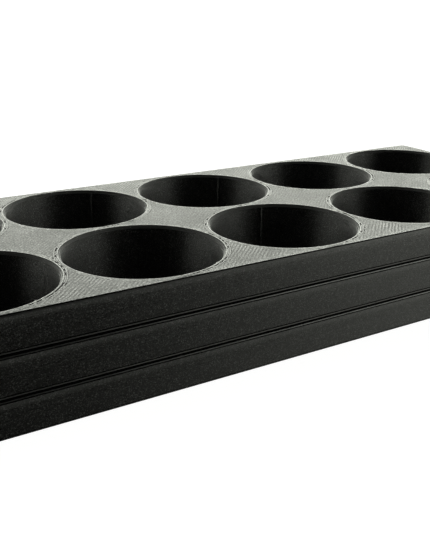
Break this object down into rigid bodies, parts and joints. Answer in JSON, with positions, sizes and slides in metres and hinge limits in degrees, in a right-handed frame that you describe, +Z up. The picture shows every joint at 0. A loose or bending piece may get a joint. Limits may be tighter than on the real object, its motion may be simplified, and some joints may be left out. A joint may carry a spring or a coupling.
{
  "type": "paint jar rack",
  "caption": "Low rectangular rack of stacked printed plates with two rows of round wells that hold small paint jars upright.",
  "frame": {"origin": "on the surface the rack stands on, under the middle of the rack", "axes": "+X along the length of the rack, +Y from the front row of wells to the back row, +Z up out of the wells"},
  "size_m": [0.1836, 0.074, 0.024],
  "materials": {
    "plate_plastic": "layer-printed black plastic, satin on top and matt on the sides",
    "peg_plastic": "layer-printed black plastic, matt"
  },
  "bodies": {
    "base": {"base_plate": "plate_plastic", "lower_peg_1": "peg_plastic", "lower_peg_2": "peg_plastic", "lower_peg_3": "peg_plastic", "lower_peg_4": "peg_plastic"},
    "middle": {"middle_plate": "plate_plastic", "upper_peg_1": "peg_plastic", "upper_peg_2": "peg_plastic", "upper_peg_3": "peg_plastic", "upper_peg_4": "peg_plastic"},
    "top": {"top_plate": "plate_plastic"}
  },
  "joints": [
    {"name": "middle_lift", "type": "slide", "parent": "base", "child": "middle", "axis": [0, 0, 1], "range_m": [0, 0.025]},
    {"name": "top_lift", "type": "slide", "parent": "middle", "child": "top", "axis": [0, 0, 1], "range_m": [0, 0.025]}
  ]
}
